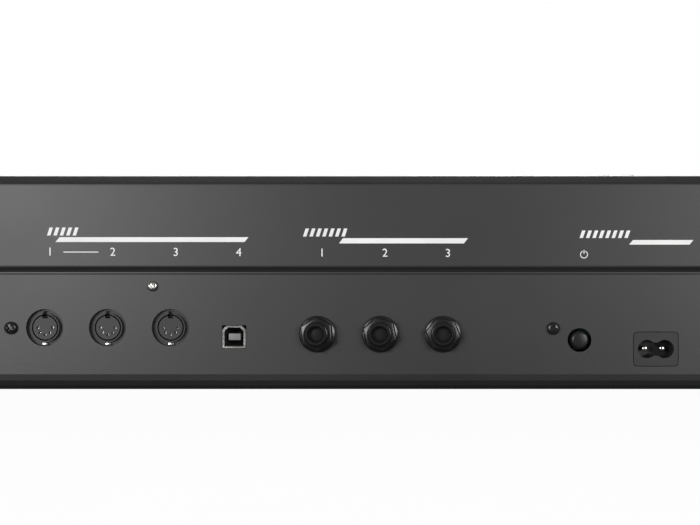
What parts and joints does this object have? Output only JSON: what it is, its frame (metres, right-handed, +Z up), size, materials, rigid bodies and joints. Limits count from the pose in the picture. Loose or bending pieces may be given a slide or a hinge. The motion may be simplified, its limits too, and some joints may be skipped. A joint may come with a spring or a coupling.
{
  "type": "drawbar organ",
  "caption": "Single-manual drawbar organ in a folded black steel case with wooden end cheeks, waterfall keys, drawbars, panel controls and rear sockets.",
  "frame": {"origin": "on the floor under the middle of the case, at the bottom centre of the bounding box", "axes": "+X towards the treble end, +Y towards the rear sockets, +Z up"},
  "size_m": [0.88, 0.273, 0.1225],
  "materials": {
    "powder_coat": "satin black powder coat with a fine grain",
    "walnut": "oiled dark walnut",
    "rubber": "matt black rubber",
    "steel": "zinc-plated steel",
    "key_white": "polished off-white plastic",
    "key_black": "polished black plastic",
    "plastic_black": "moulded black plastic",
    "drawbar_brown": "moulded brown plastic",
    "drawbar_white": "moulded white plastic",
    "drawbar_black": "moulded black plastic",
    "button_grey": "satin grey plastic",
    "nickel": "bright nickel plate",
    "circuit_board": "green solder mask"
  },
  "bodies": {
    "case": {"bottom_chassis": "powder_coat", "top_cover": "powder_coat", "left_end_cheek": "walnut", "right_end_cheek": "walnut", "foot_front_left": "rubber", "foot_front_right": "rubber", "foot_rear_left": "rubber", "foot_rear_right": "rubber", "keybed_frame": "steel", "key_pivot_rod": "steel", "drawbar_rack": "plastic_black", "mains_inlet": "plastic_black", "din_socket_1": "plastic_black", "pedal_jack_1": "plastic_black", "audio_jack_1": "plastic_black", "din_socket_2": "plastic_black", "pedal_jack_2": "plastic_black", "audio_jack_2": "plastic_black", "din_socket_3": "plastic_black", "pedal_jack_3": "plastic_black", "audio_jack_3": "plastic_black", "usb_socket": "nickel", "panel_board": "circuit_board", "main_board": "circuit_board", "power_supply_board": "circuit_board", "key_contact_board": "circuit_board"},
    "natural_keys_octave_1": {"natural_keys_octave_1": "key_white"},
    "natural_keys_octave_2": {"natural_keys_octave_2": "key_white"},
    "natural_keys_octave_3": {"natural_keys_octave_3": "key_white"},
    "natural_keys_octave_4": {"natural_keys_octave_4": "key_white"},
    "natural_keys_octave_5": {"natural_keys_octave_5": "key_white"},
    "sharp_keys_octave_1": {"sharp_keys_octave_1": "key_black"},
    "sharp_keys_octave_2": {"sharp_keys_octave_2": "key_black"},
    "sharp_keys_octave_3": {"sharp_keys_octave_3": "key_black"},
    "sharp_keys_octave_4": {"sharp_keys_octave_4": "key_black"},
    "sharp_keys_octave_5": {"sharp_keys_octave_5": "key_black"},
    "top_c_key": {"top_c_key": "key_white"},
    "drawbar_1": {"drawbar_1": "drawbar_brown"},
    "drawbar_2": {"drawbar_2": "drawbar_brown"},
    "drawbar_3": {"drawbar_3": "drawbar_white"},
    "drawbar_4": {"drawbar_4": "drawbar_white"},
    "drawbar_5": {"drawbar_5": "drawbar_black"},
    "drawbar_6": {"drawbar_6": "drawbar_white"},
    "drawbar_7": {"drawbar_7": "drawbar_black"},
    "drawbar_8": {"drawbar_8": "drawbar_black"},
    "drawbar_9": {"drawbar_9": "drawbar_white"},
    "rotary_speed_lever": {"rotary_speed_lever": "plastic_black"},
    "rotary_knob_1": {"rotary_knob_1": "plastic_black"},
    "rotary_knob_2": {"rotary_knob_2": "plastic_black"},
    "rotary_knob_3": {"rotary_knob_3": "plastic_black"},
    "rotary_knob_4": {"rotary_knob_4": "plastic_black"},
    "rotary_knob_5": {"rotary_knob_5": "plastic_black"},
    "rotary_knob_6": {"rotary_knob_6": "plastic_black"},
    "tab_button_1": {"tab_button_1": "button_grey"},
    "tab_button_2": {"tab_button_2": "button_grey"},
    "tab_button_3": {"tab_button_3": "button_grey"},
    "tab_button_4": {"tab_button_4": "button_grey"},
    "tab_button_5": {"tab_button_5": "button_grey"},
    "tab_button_6": {"tab_button_6": "button_grey"},
    "power_button": {"power_button": "plastic_black"}
  },
  "joints": [
    {"name": "natural_keys_octave_1_press", "type": "hinge", "parent": "case", "child": "natural_keys_octave_1", "pos_m": [0, 0.0665, 0.078], "axis": [1, 0, 0], "range_deg": [0, 3.05], "stiffness_Nm_per_rad": 4, "springref_deg": -13.75},
    {"name": "natural_keys_octave_2_press", "type": "hinge", "parent": "case", "child": "natural_keys_octave_2", "pos_m": [0, 0.0665, 0.078], "axis": [1, 0, 0], "range_deg": [0, 3.05], "stiffness_Nm_per_rad": 4, "springref_deg": -13.75},
    {"name": "natural_keys_octave_3_press", "type": "hinge", "parent": "case", "child": "natural_keys_octave_3", "pos_m": [0, 0.0665, 0.078], "axis": [1, 0, 0], "range_deg": [0, 3.05], "stiffness_Nm_per_rad": 4, "springref_deg": -13.75},
    {"name": "natural_keys_octave_4_press", "type": "hinge", "parent": "case", "child": "natural_keys_octave_4", "pos_m": [0, 0.0665, 0.078], "axis": [1, 0, 0], "range_deg": [0, 3.05], "stiffness_Nm_per_rad": 4, "springref_deg": -13.75},
    {"name": "natural_keys_octave_5_press", "type": "hinge", "parent": "case", "child": "natural_keys_octave_5", "pos_m": [0, 0.0665, 0.078], "axis": [1, 0, 0], "range_deg": [0, 3.05], "stiffness_Nm_per_rad": 4, "springref_deg": -13.75},
    {"name": "sharp_keys_octave_1_press", "type": "hinge", "parent": "case", "child": "sharp_keys_octave_1", "pos_m": [0, 0.0665, 0.078], "axis": [1, 0, 0], "range_deg": [0, 3.35], "stiffness_Nm_per_rad": 2.5, "springref_deg": -13.75},
    {"name": "sharp_keys_octave_2_press", "type": "hinge", "parent": "case", "child": "sharp_keys_octave_2", "pos_m": [0, 0.0665, 0.078], "axis": [1, 0, 0], "range_deg": [0, 3.35], "stiffness_Nm_per_rad": 2.5, "springref_deg": -13.75},
    {"name": "sharp_keys_octave_3_press", "type": "hinge", "parent": "case", "child": "sharp_keys_octave_3", "pos_m": [0, 0.0665, 0.078], "axis": [1, 0, 0], "range_deg": [0, 3.35], "stiffness_Nm_per_rad": 2.5, "springref_deg": -13.75},
    {"name": "sharp_keys_octave_4_press", "type": "hinge", "parent": "case", "child": "sharp_keys_octave_4", "pos_m": [0, 0.0665, 0.078], "axis": [1, 0, 0], "range_deg": [0, 3.35], "stiffness_Nm_per_rad": 2.5, "springref_deg": -13.75},
    {"name": "sharp_keys_octave_5_press", "type": "hinge", "parent": "case", "child": "sharp_keys_octave_5", "pos_m": [0, 0.0665, 0.078], "axis": [1, 0, 0], "range_deg": [0, 3.35], "stiffness_Nm_per_rad": 2.5, "springref_deg": -13.75},
    {"name": "top_c_key_press", "type": "hinge", "parent": "case", "child": "top_c_key", "pos_m": [0, 0.0665, 0.078], "axis": [1, 0, 0], "range_deg": [0, 3.05], "stiffness_Nm_per_rad": 0.6, "springref_deg": -13.75},
    {"name": "drawbar_1_pull", "type": "slide", "parent": "case", "child": "drawbar_1", "axis": [0, -1, 0], "range_m": [0, 0.032]},
    {"name": "drawbar_2_pull", "type": "slide", "parent": "case", "child": "drawbar_2", "axis": [0, -1, 0], "range_m": [0, 0.032]},
    {"name": "drawbar_3_pull", "type": "slide", "parent": "case", "child": "drawbar_3", "axis": [0, -1, 0], "range_m": [0, 0.032]},
    {"name": "drawbar_4_pull", "type": "slide", "parent": "case", "child": "drawbar_4", "axis": [0, -1, 0], "range_m": [0, 0.032]},
    {"name": "drawbar_5_pull", "type": "slide", "parent": "case", "child": "drawbar_5", "axis": [0, -1, 0], "range_m": [0, 0.032]},
    {"name": "drawbar_6_pull", "type": "slide", "parent": "case", "child": "drawbar_6", "axis": [0, -1, 0], "range_m": [0, 0.032]},
    {"name": "drawbar_7_pull", "type": "slide", "parent": "case", "child": "drawbar_7", "axis": [0, -1, 0], "range_m": [0, 0.032]},
    {"name": "drawbar_8_pull", "type": "slide", "parent": "case", "child": "drawbar_8", "axis": [0, -1, 0], "range_m": [0, 0.032]},
    {"name": "drawbar_9_pull", "type": "slide", "parent": "case", "child": "drawbar_9", "axis": [0, -1, 0], "range_m": [0, 0.032]},
    {"name": "rotary_speed_lever_turn", "type": "hinge", "parent": "case", "child": "rotary_speed_lever", "pos_m": [-0.4, 0.0565, 0.113], "axis": [0, 0, 1], "range_deg": [-28, 28]},
    {"name": "rotary_knob_1_turn", "type": "hinge", "parent": "case", "child": "rotary_knob_1", "pos_m": [0.14, 0.0605, 0.113], "axis": [0, 0, 1], "range_deg": [-150, 150]},
    {"name": "rotary_knob_2_turn", "type": "hinge", "parent": "case", "child": "rotary_knob_2", "pos_m": [0.18, 0.0605, 0.113], "axis": [0, 0, 1], "range_deg": [-150, 150]},
    {"name": "rotary_knob_3_turn", "type": "hinge", "parent": "case", "child": "rotary_knob_3", "pos_m": [0.22, 0.0605, 0.113], "axis": [0, 0, 1], "range_deg": [-150, 150]},
    {"name": "rotary_knob_4_turn", "type": "hinge", "parent": "case", "child": "rotary_knob_4", "pos_m": [0.26, 0.0605, 0.113], "axis": [0, 0, 1], "range_deg": [-150, 150]},
    {"name": "rotary_knob_5_turn", "type": "hinge", "parent": "case", "child": "rotary_knob_5", "pos_m": [0.3, 0.0605, 0.113], "axis": [0, 0, 1], "range_deg": [-150, 150]},
    {"name": "rotary_knob_6_turn", "type": "hinge", "parent": "case", "child": "rotary_knob_6", "pos_m": [0.34, 0.0605, 0.113], "axis": [0, 0, 1], "range_deg": [-150, 150]},
    {"name": "tab_button_1_press", "type": "slide", "parent": "case", "child": "tab_button_1", "axis": [0, 0, -1], "range_m": [0, 0.0015], "stiffness_N_per_m": 300, "springref_m": -0.002},
    {"name": "tab_button_2_press", "type": "slide", "parent": "case", "child": "tab_button_2", "axis": [0, 0, -1], "range_m": [0, 0.0015], "stiffness_N_per_m": 300, "springref_m": -0.002},
    {"name": "tab_button_3_press", "type": "slide", "parent": "case", "child": "tab_button_3", "axis": [0, 0, -1], "range_m": [0, 0.0015], "stiffness_N_per_m": 300, "springref_m": -0.002},
    {"name": "tab_button_4_press", "type": "slide", "parent": "case", "child": "tab_button_4", "axis": [0, 0, -1], "range_m": [0, 0.0015], "stiffness_N_per_m": 300, "springref_m": -0.002},
    {"name": "tab_button_5_press", "type": "slide", "parent": "case", "child": "tab_button_5", "axis": [0, 0, -1], "range_m": [0, 0.0015], "stiffness_N_per_m": 300, "springref_m": -0.002},
    {"name": "tab_button_6_press", "type": "slide", "parent": "case", "child": "tab_button_6", "axis": [0, 0, -1], "range_m": [0, 0.0015], "stiffness_N_per_m": 300, "springref_m": -0.002},
    {"name": "power_button_press", "type": "slide", "parent": "case", "child": "power_button", "axis": [0, -1, 0], "range_m": [0, 0.003], "stiffness_N_per_m": 250, "springref_m": -0.003}
  ]
}
